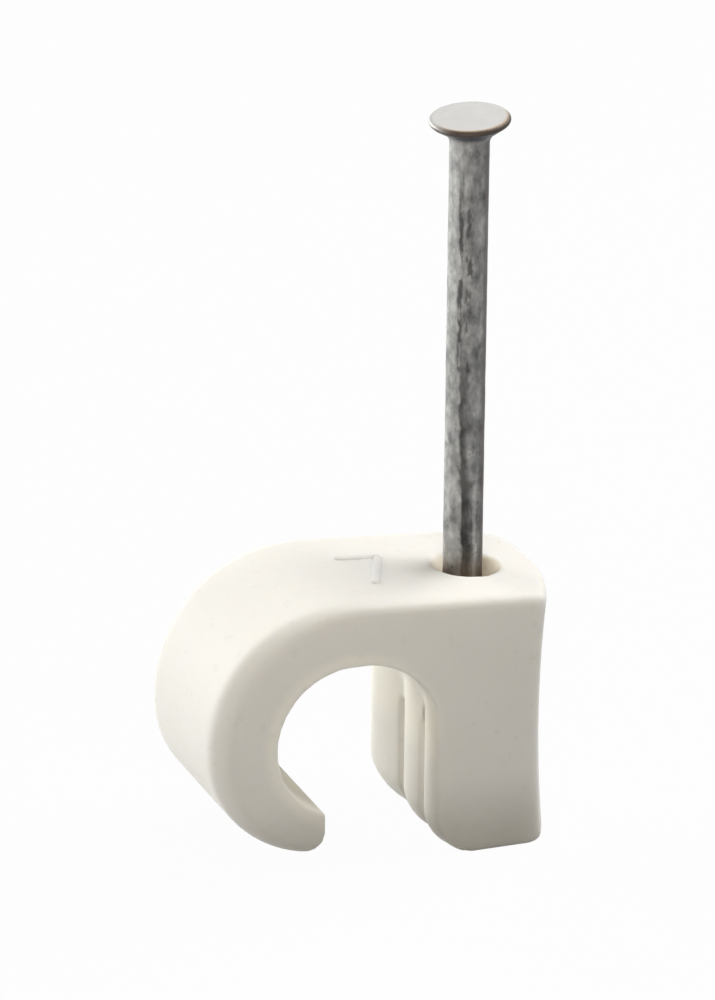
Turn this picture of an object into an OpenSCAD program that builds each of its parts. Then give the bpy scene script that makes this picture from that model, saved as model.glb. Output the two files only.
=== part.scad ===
// Nail-in cable clip: a moulded hook that holds a round cable against a wall,
// with a steel nail started in the hole of its leg.
// The wall is the plane Z = 0 and the nail stands on the Z axis. The cable runs along Y.

/* [Cable] */
// Diameter of the round cable that the clip holds
cable_d = 7; // [5:0.5:10]
// Slack between the cable and its seat, on the diameter
seat_slack = 0.12; // [0.04:0.02:0.3]
// How much narrower the mouth is than the cable, so that the cable snaps in
snap = 1.5; // [0.6:0.1:2.2]

/* [Hook] */
// Length of the clip along the cable
clip_depth = 8.8; // [7:0.2:14]
// Thickness of the crown above the cable
crown_t = 2.95; // [2.4:0.05:4]
// Thickness of the hook beside the cable
hook_t = 3.1; // [2.4:0.05:4]
// Thickness of the hook's tip below the cable
tip_t = 1.7; // [1.4:0.05:2.4]
// Gap between the hook's tip and the wall
tip_gap = 0.95; // [0.5:0.05:2]
// Radius at the lower corner of the tip
tip_r = 1; // [0.5:0.05:1.2]
// Fall of the top from the hook to the nail, in degrees
top_fall = 4.1; // [0:0.1:6]
// Radius along the outer edges of the hook
hook_edge = 1.1; // [0.6:0.05:1.4]
// How far the hook's shoulder stands outside a true arc
shoulder = 0.12; // [0:0.01:0.3]
// Radius along the edges of the top and at the tip
top_edge = 0.4; // [0.2:0.05:0.8]

/* [Leg] */
// Distance from the nail to the leg's inner wall
inner_wall = 2.64; // [2.2:0.02:4]
// Distance from the nail to the crest of the leg's outer wall, at its waist
outer_wall = 3.28; // [2.7:0.02:4]
// Height of the waist above the wall plane
waist_h = 5.9; // [4:0.1:7]
// Radius of the hollow that draws the outer wall in at the waist
waist_r = 59; // [35:1:90]
// Radius of the outer wall, seen from above
end_r = 10.7; // [8:0.1:30]
// Distance of the outer wall's crest behind the nail
end_shift = 0.7; // [0:0.1:1.6]
// Radius of the outer wall's front corner
front_corner = 0.25; // [0.15:0.05:1.2]
// Radius of the outer wall's back corner
back_corner = 1.8; // [1:0.1:2.6]
// Radius at the foot's inner corner, below a rib
heel_r = 2.1; // [1.2:0.1:2.2]
// Radius at the foot's outer corner
sole_r = 0.28; // [0.2:0.02:0.8]

/* [Grip ribs] */
// Number of upright ribs on the leg's inner wall
rib_count = 3; // [2:1:5]
// How many times as wide each rib is as the one in front of it
rib_grow = 1.6; // [1.1:0.05:1.8]
// Height of a rib's crest above the leg's inner wall
rib_h = 0.38; // [0.3:0.02:0.6]
// Gap between a rib's crest and the seat
rib_gap = 0.26; // [0.1:0.02:0.4]
// Radius of the half-round groove between two ribs
groove_r = 0.35; // [0.2:0.05:0.5]

/* [Nail] */
// Diameter of the nail's shank
nail_d = 1.8; // [1.4:0.1:2.4]
// Length of the nail from its point to the top of its head
nail_l = 25; // [18:0.5:40]
// Length of the nail that is started in the clip
nail_in = 3.6; // [2.5:0.1:6]
// Diameter of the nail's head
head_d = 3.65; // [2.8:0.05:4.4]
// Thickness of the head's rim
head_rim = 0.26; // [0.15:0.01:0.5]
// Height of the cone under the head
head_cone = 0.75; // [0.4:0.05:1.2]
// Radius between the cone and the shank
neck_r = 0.35; // [0.2:0.05:0.6]
// Length of the nail's point
point_l = 2.6; // [1.5:0.1:4]
// Radius of the blunt end of the point
point_r = 0.12; // [0.05:0.01:0.25]

/* [Nail hole] */
// Clearance around the nail in its hole, on the diameter
hole_slack = 0.04; // [0.02:0.01:0.12]
// Diameter of the hole's funnel at the top
funnel_d = 3.1; // [2.6:0.1:3.6]
// Depth of the funnel
funnel_depth = 1.3; // [0.8:0.1:2]
// How far the funnel lies to the outer side of the nail
funnel_shift = 0.2; // [0:0.05:0.3]

/* [Hidden] */
$fn = 96;

// Overlap that keeps a cut from ending on a face or along a tangent line
lap = 0.02;
// Room beyond the clip for a cut that runs right through it
past = 1;

// Cable seat, measured from the nail
seat_r = (cable_d + seat_slack) / 2;
rib_x = -inner_wall - rib_h;
seat_x = rib_x - rib_gap - seat_r;
seat_h = tip_gap + tip_t + seat_r;
tip_x = -inner_wall - (cable_d - snap);

// Arch between the seat's top and the leg's inner wall
arch_r = seat_r + (rib_h + rib_gap) / 2;
arch_x = lap - inner_wall - arch_r;
arch_h = seat_h + seat_r - arch_r;

// Hook outline: one arc over the crown and a smaller one down to the tip
crown_r = seat_r + crown_t;
hook_x = seat_x - seat_r - hook_t;
crown_x = hook_x + crown_r;
toe_r = seat_r + tip_t;
toe_x = hook_x + toe_r;
toe_end = 275;
left = 180;
crown_end = 90 - top_fall;
arc_steps = 24;
corner_steps = 4;
sole_turn = 80;

// Height of the sloping top at a distance x from the nail
function top_h(x) = seat_h + crown_r / cos(top_fall) - (x - crown_x) * tan(top_fall);
nail_top = top_h(0) - nail_in + nail_l;

// Distance from the nail to the outer wall's crest at height z
function wall_x(z) = outer_wall + waist_r - sqrt(pow(waist_r, 2) - pow(z - waist_h, 2));
wall_top = top_h(outer_wall) - top_edge;
wall_steps = 10;
below = -past / 2;
under_mouth = rib_x - past;

// An outline point is [x, z, turn_x, turn_z, edge, is_wall]. The turn is the way in which the
// point moves back where the edge is rounded, and the edge is the radius of that rounding.
function arc_point(cx, cz, r, a, edge) =
    [cx + r * cos(a), cz + r * sin(a), cos(a), sin(a), edge, false];
function between(a, b, t) = a + (b - a) * t;
function shoulder_at(a) = shoulder * pow(sin(180 * (a - crown_end) / (left - crown_end)), 2);
toe_arc = [for (i = [0:arc_steps])
    arc_point(toe_x, seat_h, toe_r, between(toe_end, left, i / arc_steps),
        between(top_edge, hook_edge, i / arc_steps))];
crown_arc = [for (i = [1:arc_steps])
    let (a = between(left, crown_end, i / arc_steps))
    arc_point(crown_x, seat_h, crown_r + shoulder_at(a), a,
        between(hook_edge, top_edge, pow(i / arc_steps, 2)))];
corner = [for (i = [0:corner_steps])
    let (a = between(crown_end, 0, i / corner_steps))
    [wall_x(wall_top) - top_edge * (1 - cos(a)), wall_top + top_edge * sin(a), 1, 1, top_edge, true]];
wall = [for (i = [1:wall_steps])
    let (z = between(wall_top, sole_r, i / wall_steps))
    [wall_x(z), z, 1, 0, top_edge, true]];
sole = [for (i = [1:corner_steps])
    let (a = between(0, sole_turn, i / corner_steps))
    [wall_x(sole_r) - sole_r * (1 - cos(a)), sole_r * (1 - sin(a)), 1, 0, top_edge, true]];
foot_x = wall_x(sole_r) - sole_r;
under = [[foot_x, below, 1, 0, top_edge, true], [under_mouth, below, 0, 0, top_edge, false]];
outline = concat(toe_arc, crown_arc, corner, wall, sole, under);

// Sections across the depth, close together where the edges are rounded
edge_steps = 8;
middle_steps = 4;
front_q = [for (i = [0:edge_steps]) hook_edge * (1 - cos(90 * i / edge_steps))];
back_q = [for (i = [0:edge_steps]) max(back_corner, hook_edge) * (1 - cos(90 * i / edge_steps))];
front_y = [for (q = front_q) q - clip_depth / 2];
back_y = [for (i = [edge_steps:-1:0]) clip_depth / 2 - back_q[i]];
middle_y = [for (i = [1:middle_steps - 1])
    between(front_y[edge_steps], back_y[0], i / middle_steps)];
sections = concat([-clip_depth / 2 - past], front_y, middle_y, back_y, [clip_depth / 2 + past]);

// How far a rounded edge of radius r falls back at a distance q from the clip's end face
function edge_fall(q, r) = q <= 0 ? r : q < r ? r - sqrt(r * r - pow(r - q, 2)) : 0;
function end_bulge(y) = sqrt(pow(end_r, 2) - pow(y - end_shift, 2)) - end_r;
function in_depth(y) = max(-clip_depth / 2, min(clip_depth / 2, y));
function section_point(p, y) =
    let (q = clip_depth / 2 - abs(in_depth(y)),
        side_r = !p[5] ? p[4] : y < 0 ? front_corner : back_corner,
        bulge = p[5] ? end_bulge(in_depth(y)) : 0,
        shift = bulge - p[2] * edge_fall(q, side_r),
        slope_fall = p[5] ? shift * tan(top_fall) : 0)
    [p[0] + shift, y, p[1] - p[3] * (edge_fall(q, p[4]) + slope_fall)];

// Solid through equal rings of points, from the first ring to the last
module loft(rings) {
    n = len(rings[0]);
    last = len(rings) - 1;
    points = [for (ring = rings) for (p = ring) p];
    sides = [for (k = [0:last - 1]) for (i = [0:n - 1]) for (half = [0, 1])
        let (a = k * n + i, b = k * n + (i + 1) % n)
        half == 0 ? [a, a + n, b] : [b, a + n, b + n]];
    first_cap = [for (i = [0:n - 1]) i];
    last_cap = [for (i = [n - 1:-1:0]) last * n + i];
    polyhedron(points, concat(sides, [first_cap, last_cap]));
}

// Carries an outline drawn in X and Z right through the clip along Y
module across() {
    rotate([90, 0, 0])
        linear_extrude(clip_depth + 2 * past, center = true)
            children();
}

// Outside form of the clip, as if the cable space were full
module clip_envelope() {
    intersection() {
        loft([for (y = sections) [for (p = outline) section_point(p, y)]]);
        translate([hook_x - past, -clip_depth / 2, 0])
            cube([wall_x(wall_top) - hook_x + 2 * past, clip_depth, top_h(hook_x)]);
    }
}

// Seat, arch and mouth, seen along the cable
module cable_space_outline() {
    translate([seat_x, seat_h])
        circle(seat_r);
    intersection() {
        translate([arch_x, arch_h])
            circle(arch_r);
        translate([seat_x, 0])
            square([seat_r + arch_r, seat_h + seat_r + past]);
    }
    polygon([[tip_x, -past], [-inner_wall, -past], [-inner_wall, arch_h], [tip_x, seat_h]]);
}

// Ribs from front to back. Rib i runs from rib_y(i) to rib_y(i + 1), and all of them fill the depth.
function rib_y(i) =
    clip_depth * (pow(rib_grow, i) - 1) / (pow(rib_grow, rib_count) - 1) - clip_depth / 2;
rib_rise = rib_h - lap;

// Section through the ribs, one shallow arc for each. X points out of the leg and is 0 at the
// crests, and the section runs back to a given depth.
module rib_section(depth) {
    for (i = [0:rib_count - 1]) {
        rib_w = rib_y(i + 1) - rib_y(i);
        rib_r = (pow(rib_w / 2, 2) + pow(rib_rise, 2)) / (2 * rib_rise);
        intersection() {
            translate([-rib_r, rib_y(i) + rib_w / 2])
                circle(rib_r);
            translate([-depth, rib_y(i) - lap])
                square([depth + past, rib_w + 2 * lap]);
        }
    }
}

// Ribs that stand on the leg's inner wall
module grip_ribs() {
    translate([rib_x, 0, -past])
        linear_extrude(seat_h + seat_r)
            mirror([1, 0])
                rib_section(rib_h + past);
}

// Waste at the foot's inner corner: the ribs turn round it, on a smaller round of the wall itself
wall_heel_r = heel_r - rib_h;
module heel_waste() {
    heel_x = rib_x + heel_r - lap;
    core_r = wall_heel_r - lap / 2;
    difference() {
        translate([heel_x - heel_r - past, -clip_depth / 2 - past, -past])
            cube([heel_r + past, clip_depth + 2 * past, heel_r + past - lap]);
        translate([heel_x, 0, heel_r - lap])
            rotate([-90, 0, 0])
                rotate_extrude()
                    translate([heel_r, 0])
                        rib_section(heel_r / 2);
        across()
            translate([heel_x, core_r - lap])
                circle(core_r);
        translate([heel_x - core_r, -clip_depth / 2 - past, core_r - lap])
            cube([core_r, clip_depth + 2 * past, heel_r]);
    }
}

// Half-round grooves between the ribs. They run down the wall and fade out round the heel, and their
// turn lies lower than the heel's, so that they end short of the nail's hole.
module grooves() {
    turn_r = wall_heel_r + groove_r;
    turn_h = wall_heel_r - groove_r / 2;
    for (i = [1:rib_count - 1])
        translate([-inner_wall, rib_y(i), turn_h]) {
            cylinder(r = groove_r, h = arch_h - turn_h);
            translate([turn_r, 0, 0])
                rotate([-90, 0, 180])
                    rotate_extrude(angle = 90)
                        translate([turn_r, 0])
                            circle(groove_r);
        }
}

// Rounds the lower corner of the hook's tip
module tip_waste() {
    corner_x = tip_x - tip_r + lap;
    corner_h = seat_h - sqrt(pow(toe_r - tip_r, 2) - pow(corner_x - toe_x, 2)) - lap;
    difference() {
        translate([corner_x, -past])
            square([tip_r + past, corner_h + past]);
        translate([corner_x, corner_h])
            circle(tip_r);
    }
}

// Hole for the nail, with a funnel at the top to start it in
module nail_hole() {
    hole_d = nail_d + hole_slack;
    translate([0, 0, -past])
        cylinder(d = hole_d, h = top_h(0) + 2 * past);
    rim_h = top_h(funnel_shift + funnel_d / 2);
    throat_d = hole_d - 2 * funnel_shift;
    widen = (funnel_d - throat_d) / funnel_depth;
    translate([funnel_shift, 0, rim_h - funnel_depth])
        cylinder(d1 = throat_d, d2 = throat_d + widen * (funnel_depth + past), h = funnel_depth + past);
}

module clip_body() {
    color("ivory")
        difference() {
            clip_envelope();
            difference() {
                across() cable_space_outline();
                grip_ribs();
            }
            heel_waste();
            grooves();
            across() tip_waste();
            nail_hole();
        }
}

// Nail, turned from its half profile: point, shank, hollow neck, cone and rounded rim
module nail() {
    shank_r = nail_d / 2;
    rim_r = head_rim / 2;
    rim_x = head_d / 2 - rim_r;
    rim_h = nail_l - rim_r;
    neck_x = shank_r + neck_r;
    neck_h = rim_h - rim_r - head_cone;
    cone_turn = atan2(head_cone, rim_x - shank_r);
    neck = [for (i = [0:arc_steps])
        let (a = between(180, 90 + cone_turn, i / arc_steps))
        [neck_x + neck_r * cos(a), neck_h + neck_r * sin(a)]];
    rim = [for (i = [0:arc_steps])
        let (a = between(cone_turn - 90, 90, i / arc_steps))
        [rim_x + rim_r * cos(a), rim_h + rim_r * sin(a)]];
    color("slategray")
        translate([0, 0, nail_top - nail_l])
            rotate_extrude()
                polygon(concat([[0, 0], [point_r, 0], [shank_r, point_l]], neck, rim, [[0, nail_l]]));
}

clip_body();
nail();
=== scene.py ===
# %% [markdown]
# # A nail-in cable clip
# The clip is one white moulding with a steel nail started in its leg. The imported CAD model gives
# every size and place, so it is loaded first and kept as the frame. Its box is kept too, because the
# dressed model has to stay inside it.

# %% Load the frame
import math

import bmesh
import bpy
import numpy as np
from mathutils import Matrix, Vector
from mathutils.bvhtree import BVHTree


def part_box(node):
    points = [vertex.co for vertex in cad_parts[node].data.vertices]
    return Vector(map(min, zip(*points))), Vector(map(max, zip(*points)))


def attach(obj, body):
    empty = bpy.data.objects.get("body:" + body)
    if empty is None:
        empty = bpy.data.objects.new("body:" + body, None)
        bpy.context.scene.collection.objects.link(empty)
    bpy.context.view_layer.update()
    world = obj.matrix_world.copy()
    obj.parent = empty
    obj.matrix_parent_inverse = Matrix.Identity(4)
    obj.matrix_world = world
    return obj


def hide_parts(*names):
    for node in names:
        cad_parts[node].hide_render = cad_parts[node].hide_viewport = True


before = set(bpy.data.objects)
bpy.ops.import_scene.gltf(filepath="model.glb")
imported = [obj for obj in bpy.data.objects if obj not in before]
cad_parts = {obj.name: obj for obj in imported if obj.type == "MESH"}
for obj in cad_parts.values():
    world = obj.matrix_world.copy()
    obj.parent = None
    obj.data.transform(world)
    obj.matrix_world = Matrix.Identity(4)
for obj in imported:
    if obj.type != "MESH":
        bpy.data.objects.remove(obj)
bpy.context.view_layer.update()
MM = 0.001
scene = bpy.context.scene
scene.view_settings.view_transform = "Standard"
clip_low, clip_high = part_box("clip_body")
nail_low, nail_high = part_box("nail")

# %% [markdown]
# ## The camera
# A long lens from far away gives the nearly parallel lines of a product photograph. The camera is
# placed by the side and the height that it looks from, and it is turned a little on its own axis.
# Aiming it beside the clip puts the clip where the picture has it, with no lens shift.

# %% Place the camera
LOOK_SIDE = math.radians(21.647)
LOOK_DOWN = math.radians(22.072)
LOOK_ROLL = math.radians(-0.864)
LOOK_FROM = 360.15 * MM
LOOK_CENTRE = Vector((-2, 0, 12)) * MM
PAN = -2.859 * MM
LIFT = 3.306 * MM
LENS = 288.0
NEAREST = 10 * MM
FARTHEST = 10.0

ahead = Vector((math.sin(LOOK_SIDE) * math.cos(LOOK_DOWN),
                math.cos(LOOK_SIDE) * math.cos(LOOK_DOWN),
                -math.sin(LOOK_DOWN)))
level = Vector((math.cos(LOOK_SIDE), -math.sin(LOOK_SIDE), 0))
upright = level.cross(ahead)
right = math.cos(LOOK_ROLL) * level - math.sin(LOOK_ROLL) * upright
up = math.sin(LOOK_ROLL) * level + math.cos(LOOK_ROLL) * upright
eye = LOOK_CENTRE - ahead * LOOK_FROM
target = LOOK_CENTRE + right * PAN + up * LIFT


def basis_matrix(right_axis, up_axis, back_axis, place):
    """A turn and a place as one matrix, from three axes at right angles."""
    columns = Matrix((right_axis, up_axis, back_axis)).transposed().to_4x4()
    columns.translation = place
    return columns


back = (eye - target).normalized()
side = (right - back * right.dot(back)).normalized()
camera = bpy.data.objects.new("camera", bpy.data.cameras.new("camera"))
camera.data.lens = LENS
camera.data.clip_start = NEAREST
camera.data.clip_end = FARTHEST
camera.matrix_world = basis_matrix(side, back.cross(side), back, eye)
scene.collection.objects.link(camera)
scene.camera = camera
print("camera is", round((eye - target).length / MM), "mm away")

# %% [markdown]
# ## Shader maths as Python
# A finish is a small network of nodes. Wrapping a socket in a class with operators lets the network
# be written as arithmetic, and one method makes every other kind of node. The finishes below measure
# in millimetres, and a pair of numbers is where a smooth step starts and where it ends.

# %% A socket that can be used like a number


class Wire:
    """One output socket. Arithmetic on it adds Math nodes to the same finish."""

    def __init__(self, finish, socket):
        self.finish = finish
        self.socket = socket

    def maths(self, operation, *values):
        return self.finish.node("ShaderNodeMath", {"operation": operation}, dict(enumerate(values)))

    def __add__(self, other):
        return self.maths("ADD", self, other)

    def __sub__(self, other):
        return self.maths("SUBTRACT", self, other)

    def __rsub__(self, other):
        return self.maths("SUBTRACT", other, self)

    def __mul__(self, other):
        return self.maths("MULTIPLY", self, other)

    def __pow__(self, other):
        return self.maths("POWER", self, other)

    def __abs__(self):
        return self.maths("ABSOLUTE", self)

    __radd__ = __add__
    __rmul__ = __mul__


class Finish:
    """A material and the one method that adds nodes to it."""

    def __init__(self, name):
        self.material = bpy.data.materials.new(name)
        self.material.use_nodes = True
        self.tree = self.material.node_tree
        self.tree.nodes.clear()
        self.output = self.tree.nodes.new("ShaderNodeOutputMaterial")

    def node(self, kind, settings=None, inputs=None, output=0):
        """Adds a node, sets its settings, then its sockets, and returns one output as a Wire."""
        made = self.tree.nodes.new(kind)
        for name, value in (settings or {}).items():
            if name == "stops":
                while len(made.color_ramp.elements) < len(value):
                    made.color_ramp.elements.new(1.0)
                for element, (place, colour) in zip(made.color_ramp.elements, value):
                    element.position = place
                    element.color = (*colour, 1.0)
            else:
                setattr(made, name, value)
        for name, value in (inputs or {}).items():
            if isinstance(value, Wire):
                self.tree.links.new(value.socket, made.inputs[name])
            else:
                made.inputs[name].default_value = value
        return Wire(self, made.outputs[output])

    def place_mm(self):
        """The point on the object, in millimetres, as a vector."""
        point = self.node("ShaderNodeTexCoord", output="Object")
        return self.node("ShaderNodeVectorMath", {"operation": "SCALE"}, {0: point, "Scale": 1 / MM})

    def parts(self, vector):
        """The X, Y and Z of a vector."""
        first = self.node("ShaderNodeSeparateXYZ", None, {0: vector})
        return [Wire(self, socket) for socket in first.socket.node.outputs]

    def noise(self, vector, size, detail=3.0, roughness=0.55, stretch=(1, 1, 1)):
        """Cloudy noise from 0 to 1 with spots about as wide as size, in millimetres."""
        scaled = self.node("ShaderNodeVectorMath", {"operation": "MULTIPLY"},
                           {0: vector, 1: [s / size for s in stretch]})
        return self.node("ShaderNodeTexNoise", None,
                         {"Vector": scaled, "Scale": 1.0, "Detail": detail, "Roughness": roughness})

    def rise(self, value, start, end):
        """A smooth step: 0 before start, 1 after end."""
        return self.node("ShaderNodeMapRange", {"interpolation_type": "SMOOTHSTEP"},
                         {0: value, 1: start, 2: end, 3: 0.0, 4: 1.0})

    def fall(self, value, start, end):
        """The same step the other way: 1 before start, 0 after end."""
        return 1.0 - self.rise(value, start, end)

    def mix(self, amount, first, second):
        """One colour over another, by an amount from 0 to 1."""
        def colour(c):
            return c if isinstance(c, Wire) else (*c, 1.0)
        return self.node("ShaderNodeMix", {"data_type": "RGBA"},
                         {0: amount, 6: colour(first), 7: colour(second)}, 2)

    def surface(self, inputs):
        """The Principled shader, joined to the output."""
        shader = self.node("ShaderNodeBsdfPrincipled", None, inputs)
        self.tree.links.new(shader.socket, self.output.inputs["Surface"])
        return self.material


print("shader helpers ready")

# %% [markdown]
# ## White moulded plastic
# The clip is polyethylene: warm white, a little waxy, with a fine matt skin from the mould. Light goes
# into it, so it has some scattering below the skin. Inside the hook it is painted creamier and lighter
# as painted warm bounce light, and around the nail's hole it is painted tan as painted shade in the
# funnel. Two dark slits are painted in the front groove between the ribs, and painted shade greys the
# front towards the foot.

# %% Make the plastic finish
CLOUD_SIZE, SPECK_SIZE, SKIN_SIZE = 3.5, 0.5, 0.09
WHITES = ((0.82, 0.795, 0.74), (0.85, 0.835, 0.79))

SEAT_X, SEAT_H, SEAT_R = -6.84, 6.21, 3.56
# Painted warm bounce light: a creamier, lighter white inside the hook.
INSIDE_BOUNCE_CREAM, INSIDE_BOUNCE_SHARE = (0.93, 0.90, 0.81), 0.8
INSIDE_EDGE = (SEAT_R + 0.3, SEAT_R + 0.9)

HOLE_SHIFT = 0.2
# Painted shade: a tan ring in the funnel round the nail's hole.
HOLE_SHADE_TAN, HOLE_SHADE_SHARE = (0.80, 0.70, 0.50), 0.6
HOLE_SHADE_EDGE, HOLE_SHADE_HEIGHT = (1.35, 1.75), (8.5, 10.5)

# Two dark slits painted in the front groove between the ribs.
GROOVE_Y, GROOVE_HALF, GROOVE_TOP = -2.52, (0.03, 0.16), (7.0, 8.0)
GROOVE_LEFT, GROOVE_RIGHT = (-3.2, -3.05), (-2.5, -2.3)
GROOVE_DARK, LEAST_GROOVE_DARK = (0.22, 0.21, 0.17), 0.3
UPPER_SLIT_Z, UPPER_SLIT_HALF, UPPER_SLIT_SHARE = 6.3, (0.1, 0.6), 0.6
LOWER_SLIT_Z, LOWER_SLIT_HALF = 3.3, (0.15, 0.45)

SPECK_GREY, SPECK_LEVEL, SPECK_SHARE = (0.60, 0.57, 0.50), (0.58, 0.8), 0.2

FRONT_SKIN = (clip_low.y / MM + 0.02, clip_low.y / MM + 0.4)
# Painted shade: the front is painted greyer towards the foot, less so towards the leg's end.
FOOT_SHADE, FOOT_SHADE_TOP = (0.50, 0.47, 0.41), (0.05, 4.2)
FOOT_SHADE_LEAST, FOOT_SHADE_CLOUD = 0.45, 0.5
SHADE_FADE_END, SHADE_FADE_SHARE = (1.0, 3.0), 0.6

PLASTIC_ROUGH, ROUGH_CLOUD = 0.58, 0.14


def white_plastic():
    fin = Finish("white_plastic")
    point = fin.place_mm()
    x, y, z = fin.parts(point)
    cloud = fin.noise(point, CLOUD_SIZE)
    speck = fin.noise(point, SPECK_SIZE, detail=2.0)
    skin = fin.noise(point, SKIN_SIZE, detail=2.0)
    base = fin.mix(cloud, *WHITES)

    # Painted warm bounce light: the white inside the hook is painted creamier and lighter.
    from_seat = ((x - SEAT_X) ** 2.0 + (z - SEAT_H) ** 2.0) ** 0.5
    inside = fin.fall(from_seat, *INSIDE_EDGE)
    base = fin.mix(inside * INSIDE_BOUNCE_SHARE, base, INSIDE_BOUNCE_CREAM)

    # Painted shade in the hole's funnel: a tan ring round the nail.
    from_hole = ((x - HOLE_SHIFT) ** 2.0 + y ** 2.0) ** 0.5
    hole_shade = fin.fall(from_hole, *HOLE_SHADE_EDGE) * fin.rise(z, *HOLE_SHADE_HEIGHT)
    base = fin.mix(hole_shade * HOLE_SHADE_SHARE, base, HOLE_SHADE_TAN)

    # Two dark slits painted in the front groove between the ribs, at two heights.
    in_groove = (fin.fall(abs(y - GROOVE_Y), *GROOVE_HALF) * fin.rise(x, *GROOVE_LEFT)
                 * fin.fall(x, *GROOVE_RIGHT) * fin.fall(z, *GROOVE_TOP))
    slits = (fin.fall(abs(z - UPPER_SLIT_Z), *UPPER_SLIT_HALF) * UPPER_SLIT_SHARE
             + fin.fall(abs(z - LOWER_SLIT_Z), *LOWER_SLIT_HALF))
    base = fin.mix(in_groove * slits * (LEAST_GROOVE_DARK + speck), base, GROOVE_DARK)
    base = fin.mix(fin.rise(speck, *SPECK_LEVEL) * SPECK_SHARE, base, SPECK_GREY)

    # Painted shade: the front face is painted greyer towards the foot, less so towards the leg's end.
    front = fin.fall(y, *FRONT_SKIN)
    foot = fin.fall(z, *FOOT_SHADE_TOP) * front * (1.0 - fin.rise(x, *SHADE_FADE_END) * SHADE_FADE_SHARE)
    base = fin.mix(foot * (FOOT_SHADE_LEAST + cloud * FOOT_SHADE_CLOUD), base, FOOT_SHADE)

    bump = fin.node("ShaderNodeBump", None,
                    {"Strength": 0.12, "Distance": 0.02 * MM, "Height": skin})
    return fin.surface({"Base Color": base, "Roughness": PLASTIC_ROUGH + cloud * ROUGH_CLOUD,
                        "Normal": bump, "IOR": 1.5, "Specular IOR Level": 0.3,
                        "Subsurface Weight": 0.25, "Subsurface Radius": (1.0, 0.85, 0.6),
                        "Subsurface Scale": 0.9 * MM})


plastic = white_plastic()
print("finish:", plastic.name)

# %% [markdown]
# ## The moulded clip
# The CAD solid has the true form, but some of its edges are knife sharp and its round faces are facets.
# A moulding has neither. A copy of the solid is merged, remeshed into even cells and relaxed, so that
# each edge gets a small soft radius and the facets run together.

# %% Copy the clip and soften it
CELL = 0.11 * MM
RELAX_STEPS = 6
RELAX_SHARE = 0.5
MERGE_WITHIN = 1e-7


def merged_copy(node):
    """A copy of a CAD node's mesh with its loose triangles joined."""
    mesh = bpy.data.meshes.new(node + "_copy")
    work = bmesh.new()
    work.from_mesh(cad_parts[node].data)
    bmesh.ops.remove_doubles(work, verts=work.verts, dist=MERGE_WITHIN)
    work.to_mesh(mesh)
    work.free()
    return mesh


def link_piece(name, mesh, material):
    """An object at the origin that shows a mesh with one finish, shaded smooth."""
    mesh.materials.clear()
    mesh.materials.append(material)
    mesh.shade_smooth()
    piece = bpy.data.objects.new(name, mesh)
    scene.collection.objects.link(piece)
    return piece


def mesh_points(mesh):
    """All the points of a mesh as one array."""
    flat = np.empty(len(mesh.vertices) * 3)
    mesh.vertices.foreach_get("co", flat)
    return flat.reshape(-1, 3)


def relax(mesh, steps, share):
    """Moves each point part of the way to the mean of its neighbours, several times.

    The points then stay inside the CAD box."""
    pairs = np.empty(len(mesh.edges) * 2, dtype=np.int32)
    mesh.edges.foreach_get("vertices", pairs)
    first, second = pairs.reshape(-1, 2).T
    points = mesh_points(mesh)
    count = np.bincount(pairs, minlength=len(points))[:, None]
    for _ in range(steps):
        total = np.zeros_like(points)
        for axis in range(3):
            total[:, axis] = (np.bincount(first, points[second, axis], len(points))
                              + np.bincount(second, points[first, axis], len(points)))
        points += share * (total / count - points)
    points = np.clip(points, clip_low, clip_high)
    mesh.vertices.foreach_set("co", points.ravel())
    mesh.update()


clip = link_piece("moulded_clip", merged_copy("clip_body"), plastic)
cells = clip.modifiers.new("cells", "REMESH")
cells.mode = "VOXEL"
cells.voxel_size = CELL
as_cells = clip.evaluated_get(bpy.context.evaluated_depsgraph_get())
soft_mesh = bpy.data.meshes.new_from_object(as_cells)
clip.modifiers.clear()
clip.data = soft_mesh
soft_mesh.materials.clear()
soft_mesh.materials.append(plastic)
relax(soft_mesh, RELAX_STEPS, RELAX_SHARE)
soft_mesh.shade_smooth()
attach(clip, "root")
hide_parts("clip_body")
print("clip has", len(soft_mesh.polygons), "faces")

# %% [markdown]
# ## The size number
# Such clips carry the cable's size on the top as a raised number. A plain 7 stands for a 7 mm cable. It
# is a low rounded bar carried along two strokes, and each point is set down on the clip's own top.

# %% Raise a plain 7 on the top
DIGIT_AT = Vector((-4.6, -0.2)) * MM
DIGIT_SIZE = Vector((2.1, 3.3)) * MM
DIGIT_LEAN = 0.3
DIGIT_BAR = 0.22 * MM
DIGIT_RISE = 0.1 * MM
DIGIT_SINK = 0.05 * MM
STROKE_STEPS = 60
BAR_STEPS = 14
END_STEPS = 3.0
END_LEAST = 0.0004


def stroke_path(corners, steps):
    """Even steps along straight strokes, with the way across at each step."""
    corners = np.array(corners, float)
    lengths = np.linalg.norm(np.diff(corners, axis=0), axis=1)
    along = np.concatenate([[0.0], np.cumsum(lengths)])
    places = np.linspace(0.0, along[-1], steps)
    path = np.stack([np.interp(places, along, corners[:, k]) for k in (0, 1)], axis=1)
    run = np.gradient(path, axis=0)
    run /= np.linalg.norm(run, axis=1)[:, None]
    return path, np.stack([-run[:, 1], run[:, 0]], axis=1)


def ring_faces(rows, columns):
    """The cells of a grid that closes round, its points numbered row by row, and its two end caps."""
    row, column = np.meshgrid(np.arange(rows - 1), np.arange(columns), indexing="ij")
    after = (column + 1) % columns
    corners = [row * columns + column, row * columns + after,
               (row + 1) * columns + after, (row + 1) * columns + column]
    last = (rows - 1) * columns
    caps = [list(range(columns))[::-1], list(range(last, last + columns))]
    return np.stack(corners, axis=-1).reshape(-1, 4).tolist() + caps


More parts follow.
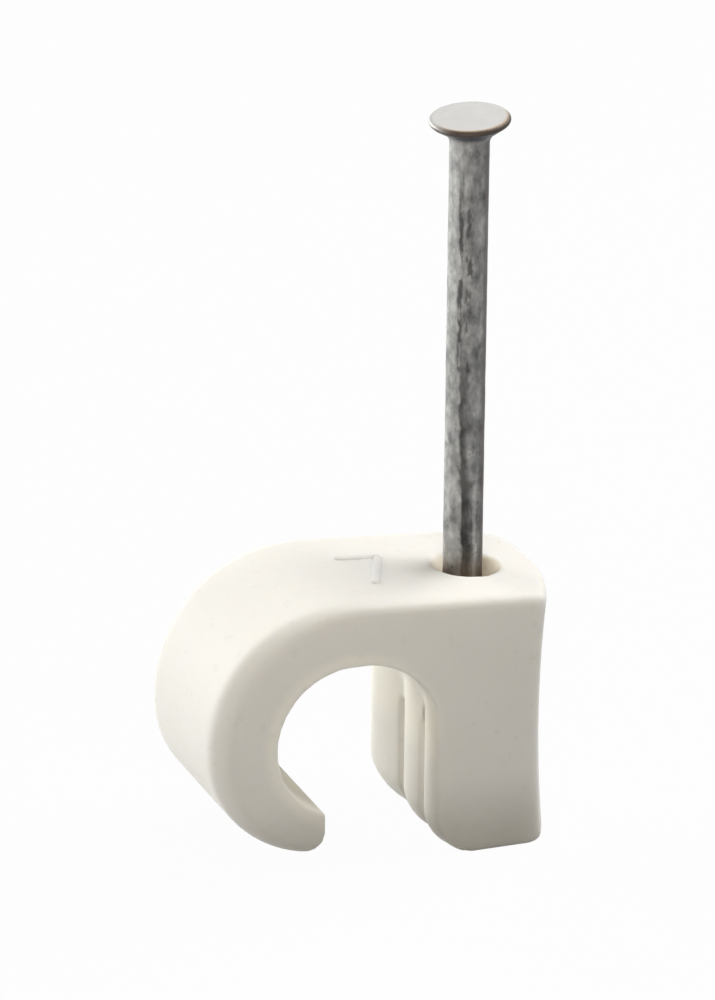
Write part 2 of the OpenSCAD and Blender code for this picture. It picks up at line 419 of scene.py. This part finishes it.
def heights_of_top(flat):
    """The height of the clip's top below each of a grid of places."""
    tree = BVHTree.FromPolygons(mesh_points(soft_mesh).tolist(),
                                [p.vertices[:] for p in soft_mesh.polygons])
    above = clip_high.z + MM
    return np.array([[tree.ray_cast((px, py, above), (0, 0, -1))[0].z for px, py in row]
                     for row in flat])


def raised_seven():
    """A half-round section carried along the two strokes of a 7, closed below and at both ends."""
    half = DIGIT_SIZE / 2
    corners = [(DIGIT_AT.x - half.x, DIGIT_AT.y + half.y),
               (DIGIT_AT.x + half.x, DIGIT_AT.y + half.y),
               (DIGIT_AT.x - half.x * DIGIT_LEAN, DIGIT_AT.y - half.y)]
    path, across = stroke_path(corners, STROKE_STEPS)
    end = np.minimum(np.arange(STROKE_STEPS), np.arange(STROKE_STEPS)[::-1])
    taper = np.sqrt(np.clip(1 - (1 - np.minimum(end / END_STEPS, 1.0)) ** 2, END_LEAST, 1.0))
    turn = np.linspace(0, 2 * math.pi, BAR_STEPS, endpoint=False)
    wide = np.cos(turn)[None, :, None] * (DIGIT_BAR * taper)[:, None, None]
    flat = path[:, None, :] + across[:, None, :] * wide
    lift = np.where(np.sin(turn) > 0, np.sin(turn) * DIGIT_RISE, np.sin(turn) * DIGIT_SINK)
    height = heights_of_top(flat) + lift[None, :] * taper[:, None]
    points = np.concatenate([flat, height[..., None]], axis=-1)
    mesh = bpy.data.meshes.new("size_number")
    mesh.from_pydata(points.reshape(-1, 3).tolist(), [], ring_faces(STROKE_STEPS, BAR_STEPS))
    work = bmesh.new()
    work.from_mesh(mesh)
    bmesh.ops.recalc_face_normals(work, faces=work.faces)
    work.to_mesh(mesh)
    work.free()
    return mesh


number = link_piece("size_number", raised_seven(), plastic)
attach(number, "root")
print("number has", len(number.data.polygons), "faces")

# %% [markdown]
# ## Hardened steel for the nail
# Masonry nails are drawn, cut and hardened in oil, which leaves a grey skin with dark scale. One side
# of this shank is painted pale as a painted reflection, and beside it runs a painted dark reflection
# stripe with a wandering edge. Higher up the stripe gives way to two rows of dark spots. The far edge is
# painted dark brown as painted shade, pits and some rust show close to the plastic, and the head has a
# bare face, an underside and a side darkened by painted shade, and a thin orange line on its rim.

# %% Make the steel finish
MARK_ANGLE = math.radians(-121)
WANDER_SIZE, WANDER_REACH = 1.5, 0.5
EDGE_START, EDGE_DRIFT, EDGE_DRIFT_Z = 0.06, 0.24, (13.0, 21.0)
MOTTLE_SHARE, GRAIN_SHARE, DRAWN_SHARE = 0.4, 0.45, 0.15
# Painted reflection: one side of the shank is painted paler.
PALE_REFLECTION_EDGE, PALE_REFLECTION_BACK = (-0.08, 0.08), (-2.6, -1.9)
PALE_REFLECTION_LIFT, PALE_REFLECTION_MORE, PALE_REFLECTION_MORE_Z = 0.065, 0.01, (18.0, 26.0)
THREAD_AT, THREAD_HALF, THREAD_LIFT = 0.72, (0.05, 0.16), 0.12
LOW_PART_Z = (15.0, 18.0)
STEEL_STOPS = [(0.36, (0.06, 0.06, 0.06)), (0.46, (0.16, 0.16, 0.16)),
               (0.55, (0.27, 0.27, 0.265)), (0.67, (0.44, 0.44, 0.425))]

# Painted reflection: a dark stripe beside the pale side, for the dark part of the surround.
REFLECTION_BAND_BLACK, REFLECTION_BAND_LEAST, REFLECTION_BAND_BLOTCH = (0.02, 0.02, 0.02), 0.6, 0.38
REFLECTION_BAND_FROM, REFLECTION_BAND_TO, REFLECTION_BAND_LOW_MORE, REFLECTION_BAND_END_Z = (-0.02, 0.08), (0.14, 0.5), 0.15, (19.5, 24.0)
BLOTCH_LEVEL, SPOT_LEVEL, PIT_LEVEL = (0.38, 0.6), (0.46, 0.56), (0.57, 0.68)
SPOT_BLACK, SPOT_SHARE = (0.04, 0.04, 0.04), 0.85
LEFT_ROW_AT, LEFT_ROW_HALF = -0.02, (0.05, 0.2)
RIGHT_ROW_AT, RIGHT_ROW_HALF = 0.42, (0.05, 0.22)
ROWS_START_Z, ROWS_END_Z = (20.0, 22.5), (29.0, 32.0)
PIT_GREY, PIT_SHARE, PIT_END_Z = (0.08, 0.078, 0.07), 0.6, (17.0, 22.0)
# Painted shade: the shank's far edge, away from the light, is painted dark brown.
FAR_SHADE_BROWN, FAR_SHADE_SHARE = (0.05, 0.04, 0.034), 0.7
FAR_SHADE_FROM, FAR_SHADE_TO = (0.9, 1.3), (2.5, 3.0)
RUST, RUST_LEAST, RUST_MOTTLE, RUST_END_Z = (0.13, 0.085, 0.045), 0.25, 0.6, (11.6, 13.6)

HEAD_TILT = math.radians(4.7)
TILT_SIDE = math.radians(-144)
HEAD_R = 1.825 * MM
HEAD_DROP = HEAD_R * math.sin(HEAD_TILT)
SHADED_FROM, SHADED_TO = (-1.1, -0.1), (1.6, 2.3)
# Painted shade under the head and on the side of its rim away from the light.
UNDER_SHADE_BLUE, UNDER_DEPTH, UNDER_LEAST, UNDER_SHADED = (0.04, 0.045, 0.055), (-0.95, -0.5), 0.3, 0.6
SIDE_SHADE_BROWN, SIDE_DEPTH, SIDE_SHARE = (0.055, 0.038, 0.027), (-0.30, -0.18), 0.9
FACE_DEPTH, FACE_EDGE, EDGE_LEAST, EDGE_SHADED = (-0.16, -0.06), (1.64, 1.77), 0.25, 0.75
BARE_STEELS = ((0.48, 0.467, 0.452), (0.58, 0.57, 0.55))
RIM_ORANGE, RIM_ORANGE_EDGE, RIM_ORANGE_SHARE = (0.42, 0.27, 0.12), (1.54, 1.70), 0.7

STEEL_METALLIC, STEEL_ROUGH, ROUGH_GRAIN = 0.55, 0.42, 0.2


def reflection_band_and_spots(fin, steel, point, z, edge, low):
    """The painted dark reflection stripe, the two rows of dark spots above it and the pits below."""
    blotch = fin.rise(fin.noise(point, 0.9, stretch=(1, 1, 0.45)), *BLOTCH_LEVEL)
    # Painted reflection: a blotchy dark stripe that stands in for the dark part of the surround.
    reflection_band = (fin.rise(edge, *REFLECTION_BAND_FROM) * fin.fall(edge - low * REFLECTION_BAND_LOW_MORE, *REFLECTION_BAND_TO)
            * fin.fall(z, *REFLECTION_BAND_END_Z))
    steel = fin.mix(reflection_band * (REFLECTION_BAND_LEAST + blotch * REFLECTION_BAND_BLOTCH), steel, REFLECTION_BAND_BLACK)

    spots = fin.rise(fin.noise(point, 0.42, stretch=(1, 1, 0.36)), *SPOT_LEVEL)
    left_row = fin.fall(abs(edge - LEFT_ROW_AT), *LEFT_ROW_HALF)
    right_row = fin.fall(abs(edge - RIGHT_ROW_AT), *RIGHT_ROW_HALF)
    rows = (left_row + right_row) * spots * fin.rise(z, *ROWS_START_Z) * fin.fall(z, *ROWS_END_Z)
    steel = fin.mix(rows * SPOT_SHARE, steel, SPOT_BLACK)

    pits = fin.rise(fin.noise(point, 0.6), *PIT_LEVEL)
    return fin.mix(pits * fin.fall(z, *PIT_END_Z) * PIT_SHARE, steel, PIT_GREY)


def head_marks(fin, steel, place, turn, mottle):
    """Painted shade under the head and on its side, its bare face and a thin orange line on its edge,
    from the depth below the face.
    """
    x, y, z = place
    toward = x * math.cos(TILT_SIDE) + y * math.sin(TILT_SIDE)
    depth = z + toward * math.sin(HEAD_TILT) - (nail_high.z - HEAD_DROP) / MM
    out = (x ** 2.0 + y ** 2.0) ** 0.5
    shaded = fin.rise(turn, *SHADED_FROM) * fin.fall(turn, *SHADED_TO)
    # Painted shade: the head's underside is painted dark blue, more on its shaded side.
    under = fin.rise(depth, *UNDER_DEPTH)
    steel = fin.mix(under * (UNDER_LEAST + shaded * UNDER_SHADED), steel, UNDER_SHADE_BLUE)
    # Painted shade: the rim's side away from the light is painted dark brown.
    rim = fin.rise(depth, *SIDE_DEPTH) * shaded
    steel = fin.mix(rim * SIDE_SHARE, steel, SIDE_SHADE_BROWN)
    # Painted shade: the bare face gives way to darker steel at its edge, more on the shaded side.
    face = (fin.rise(depth, *FACE_DEPTH)
            * (1.0 - fin.rise(out, *FACE_EDGE) * (EDGE_LEAST + shaded * EDGE_SHADED)))
    # A thin orange line at the face's edge, on its shaded side only.
    rim_orange = fin.rise(out, *RIM_ORANGE_EDGE) * shaded
    bare = fin.mix(rim_orange * RIM_ORANGE_SHARE, fin.mix(mottle, *BARE_STEELS), RIM_ORANGE)
    return fin.mix(face, steel, bare)


def scaled_steel():
    fin = Finish("scaled_steel")
    point = fin.place_mm()
    x, y, z = fin.parts(point)
    along = x * math.cos(MARK_ANGLE) + y * math.sin(MARK_ANGLE)
    beside = y * math.cos(MARK_ANGLE) - x * math.sin(MARK_ANGLE)
    turn = fin.node("ShaderNodeMath", {"operation": "ARCTAN2"}, {0: beside, 1: along})
    wander = fin.noise(z, WANDER_SIZE, detail=4.0)
    edge = (turn - EDGE_START + fin.rise(z, *EDGE_DRIFT_Z) * EDGE_DRIFT
            - (wander - 0.5) * WANDER_REACH)

    mottle = fin.noise(point, 1.0, detail=4.0, stretch=(1, 1, 0.6))
    grain = fin.noise(point, 0.42, detail=4.0, roughness=0.6, stretch=(1, 1, 0.65))
    drawn = fin.noise(point, 0.4, detail=3.0, stretch=(1, 1, 0.14))
    # Painted reflection: the side towards the bright surround is painted paler.
    pale_reflection = fin.fall(edge, *PALE_REFLECTION_EDGE) * fin.rise(turn, *PALE_REFLECTION_BACK)
    thread = fin.fall(abs(edge - THREAD_AT), *THREAD_HALF)
    low = fin.fall(z, *LOW_PART_Z)
    tone = (mottle * MOTTLE_SHARE + grain * GRAIN_SHARE + drawn * DRAWN_SHARE
            + pale_reflection * (PALE_REFLECTION_LIFT + fin.rise(z, *PALE_REFLECTION_MORE_Z) * PALE_REFLECTION_MORE)
            + thread * low * THREAD_LIFT)
    steel = fin.node("ShaderNodeValToRGB", {"stops": STEEL_STOPS}, {0: tone})

    steel = reflection_band_and_spots(fin, steel, point, z, edge, low)
    # Painted shade: the shank's far edge, away from the light, is painted dark brown.
    far_shade = fin.rise(turn, *FAR_SHADE_FROM) * fin.fall(turn, *FAR_SHADE_TO)
    steel = fin.mix(far_shade * FAR_SHADE_SHARE, steel, FAR_SHADE_BROWN)
    wet = fin.fall(z, *RUST_END_Z)
    steel = fin.mix(wet * (RUST_LEAST + mottle * RUST_MOTTLE), steel, RUST)
    steel = head_marks(fin, steel, (x, y, z), turn, mottle)

    dents = fin.node("ShaderNodeBump", None,
                     {"Strength": 0.35, "Distance": 0.03 * MM, "Height": tone})
    return fin.surface({"Base Color": steel, "Metallic": STEEL_METALLIC,
                        "Roughness": STEEL_ROUGH + grain * ROUGH_GRAIN, "Normal": dents})


steel_finish = scaled_steel()
print("finish:", steel_finish.name)

# %% [markdown]
# ## The nail
# A nail is a turned form, so its side is a profile carried round the axis. The real one was drawn and
# struck: its shank has shallow dents and pits, its neck is hollow, and its head was knocked a little out
# of square. Noise on the radius gives the dents, and a small turn of everything above the neck the tilt.

# %% Turn the nail and dent it
SHANK_R = 0.90 * MM
RIM = 0.30 * MM
NECK_R = 0.8 * MM
CONE = 0.68 * MM
POINT = 2.6 * MM
POINT_R = 0.12 * MM
CENTRE_R = 0.02 * MM
AROUND = 144
SHANK_ROWS = 420
POINT_ROWS, NECK_ROWS, CONE_ROWS, RIM_ROWS, FACE_ROWS = 30, 14, 12, 16, 18
DENT = 0.011 * MM
DENT_MEAN = 0.6
DENT_LAYERS = ((0.55, 26, 9), (0.3, 70, 18), (0.25, 170, 40))
PLAIN_TOP = 1.0 * MM
DENT_FADE = 0.6 * MM
TILT_FROM = 1.2 * MM
TILT_REACH = 0.9 * MM
draw = np.random.default_rng(7)


def arc(cx, cz, radius, start, end, steps):
    """Points on an arc, from one angle to another in degrees."""
    turn = np.radians(np.linspace(start, end, steps))
    return np.stack([cx + radius * np.cos(turn), cz + radius * np.sin(turn)], axis=1)


def nail_profile():
    """Radius and height from the point up to the middle of the head."""
    low, top = nail_low.z, nail_high.z
    rim_r = RIM / 2
    rim_x, rim_z = HEAD_R - rim_r, top - rim_r
    lean = math.atan2(CONE, rim_x - SHANK_R)
    slope = math.degrees(lean)
    cone_wide = rim_x - SHANK_R - NECK_R + (rim_r + NECK_R) * math.sin(lean)
    neck_z = rim_z - (rim_r + NECK_R) * math.cos(lean) - cone_wide * math.tan(lean)
    point = np.stack([np.linspace(POINT_R, SHANK_R, POINT_ROWS),
                      np.linspace(low, low + POINT, POINT_ROWS)], axis=1)
    tall = np.linspace(low + POINT, neck_z, SHANK_ROWS)[1:-1]
    shank = np.stack([np.full_like(tall, SHANK_R), tall], axis=1)
    neck = arc(SHANK_R + NECK_R, neck_z, NECK_R, 180, 90 + slope, NECK_ROWS)
    rim = arc(rim_x, rim_z, rim_r, slope - 90, 90, RIM_ROWS)
    share = np.linspace(0, 1, CONE_ROWS)[1:-1, None]
    cone = neck[-1] * (1 - share) + rim[0] * share
    inward = np.linspace(rim_x, 0, FACE_ROWS)[1:-1]
    face = np.stack([inward, np.full_like(inward, top)], axis=1)
    first, last = [(CENTRE_R, low)], [(CENTRE_R, top)]
    return np.concatenate([first, point, shank, neck, cone, rim, face, last])


def lattice_noise(down, across, rows, columns):
    """Smooth noise on a seeded lattice that closes round the nail, for arrays of places 0 to 1."""
    lattice = draw.uniform(-1, 1, (rows + 1, columns))
    row, column = down * rows, across * columns
    r0 = np.minimum(row.astype(int), rows - 1)
    c0 = column.astype(int) % columns
    fr, fc = row - r0, column - np.floor(column)
    fr, fc = fr * fr * (3 - 2 * fr), fc * fc * (3 - 2 * fc)
    c1 = (c0 + 1) % columns
    upper = lattice[r0, c0] * (1 - fc) + lattice[r0, c1] * fc
    lower = lattice[r0 + 1, c0] * (1 - fc) + lattice[r0 + 1, c1] * fc
    return upper * (1 - fr) + lower * fr


def struck_nail():
    """The profile turned round Z, with dents along the shank and the head tilted about its neck."""
    profile = nail_profile()
    across = np.arange(AROUND) / AROUND
    turn = 2 * math.pi * across
    radius, height = profile[:, :1], profile[:, 1:]
    share = np.clip((height - nail_low.z) / (nail_high.z - nail_low.z), 0, 1)
    down, over = np.broadcast_arrays(share, across[None, :])
    dents = sum(weight * lattice_noise(down, over, rows, columns)
                for weight, rows, columns in DENT_LAYERS)
    on_shank = (np.clip((height - nail_low.z - POINT) / MM, 0, 1)
                * np.clip((nail_high.z - PLAIN_TOP - height) / DENT_FADE, 0, 1))
    wide = radius + DENT * (dents - DENT_MEAN) * on_shank
    x, y = wide * np.cos(turn), wide * np.sin(turn)
    tilt = np.clip((height - (nail_high.z - TILT_FROM)) / TILT_REACH, 0, 1) * HEAD_TILT
    toward = x * math.cos(TILT_SIDE) + y * math.sin(TILT_SIDE)
    z = height - (toward + HEAD_R) * np.sin(tilt)
    points = np.stack([x, y, z], axis=-1).reshape(-1, 3)
    mesh = bpy.data.meshes.new("steel_nail")
    mesh.from_pydata(points.tolist(), [], ring_faces(len(profile), AROUND))
    return mesh


nail = link_piece("steel_nail", struck_nail(), steel_finish)
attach(nail, "root")
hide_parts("nail")
print("nail has", len(nail.data.polygons), "faces")

# %% [markdown]
# ## Floor, background and light
# The picture has a white background. The floor and the world show white to the camera and to
# reflections, and light the clip only softly. Five lamps do the rest. A large key from the upper right
# lights the top, and an overhead lamp softens its shadows. A panel behind the clip reaches the ribs
# through the opening, and a low one lights the hook's side. A weak warm fill leaves the front in soft
# shade.

# %% White floor and world
FLOOR_HALF = 3.0
FLOOR_DROP = 0.01 * MM
FLOOR_SHOW = 0.97
FLOOR_GREY = (0.5, 0.5, 0.5, 1)
WHITE = (1, 1, 1, 1)
WORLD_LIGHT = 0.05


def seen_rays(tree_owner):
    """1 for camera, glossy and transmission rays, and 0 for the rays that carry soft light."""
    path = tree_owner.node("ShaderNodeLightPath", output="Is Camera Ray")
    glossy = Wire(tree_owner, path.socket.node.outputs["Is Glossy Ray"])
    through = Wire(tree_owner, path.socket.node.outputs["Is Transmission Ray"])
    total = path + glossy + through
    return total.maths("MINIMUM", total, 1.0)


def white_floor():
    fin = Finish("white_floor")
    shade = fin.node("ShaderNodeBsdfDiffuse", None, {"Color": FLOOR_GREY})
    white = fin.node("ShaderNodeEmission", None, {"Color": WHITE, "Strength": 1.0})
    both = fin.node("ShaderNodeMixShader", None,
                    {0: seen_rays(fin) * FLOOR_SHOW, 1: shade, 2: white})
    fin.tree.links.new(both.socket, fin.output.inputs["Surface"])
    return fin.material


floor_mesh = bpy.data.meshes.new("floor")
floor_mesh.from_pydata([(sx * FLOOR_HALF, sy * FLOOR_HALF, clip_low.z - FLOOR_DROP)
                        for sx, sy in ((-1, -1), (1, -1), (1, 1), (-1, 1))], [], [(0, 1, 2, 3)])
floor_mesh.materials.append(white_floor())
floor = bpy.data.objects.new("floor", floor_mesh)
scene.collection.objects.link(floor)


class WorldFinish(Finish):
    """The same helper for the world's own nodes."""

    def __init__(self, world):
        self.tree = world.node_tree
        self.tree.nodes.clear()
        self.output = self.tree.nodes.new("ShaderNodeOutputWorld")


scene.world = bpy.data.worlds.new("studio")
scene.world.use_nodes = True
sky = WorldFinish(scene.world)
strength = WORLD_LIGHT + seen_rays(sky) * (1.0 - WORLD_LIGHT)
glow = sky.node("ShaderNodeBackground", None, {"Color": WHITE, "Strength": strength})
sky.tree.links.new(glow.socket, sky.output.inputs["Surface"])
print("floor and world are white to the camera")

# %% Studio lamps
LAMP_AIM = Vector((-4, 0, 8)) * MM
LAMPS = {
    "key": ((135, 30, 190), 150, 0.45, (1.0, 1.0, 1.0)),
    "overhead": ((0, 0, 260), 200, 0.16, (1.0, 1.0, 1.0)),
    "back_panel": ((-145, 200, 48), 92, 0.46, (1.0, 1.0, 0.98)),
    "left_panel": ((-205, 30, 16), 30, 0.10, (1.0, 1.0, 0.99)),
    "fill": ((-16, -36, 34), 22, 0.0064, (1.0, 0.94, 0.84)),
}


def lamp(name, place_mm, size_mm, power, colour):
    """A square soft lamp that faces the clip."""
    data = bpy.data.lights.new(name, "AREA")
    data.size = size_mm * MM
    data.energy = power
    data.color = colour
    made = bpy.data.objects.new(name, data)
    made.location = Vector(place_mm) * MM
    made.rotation_mode = "QUATERNION"
    made.rotation_quaternion = (LAMP_AIM - made.location).to_track_quat("-Z", "Y")
    made.visible_camera = False
    scene.collection.objects.link(made)


for lamp_name, lamp_values in LAMPS.items():
    lamp(lamp_name, *lamp_values)
print("lamps:", ", ".join(LAMPS))
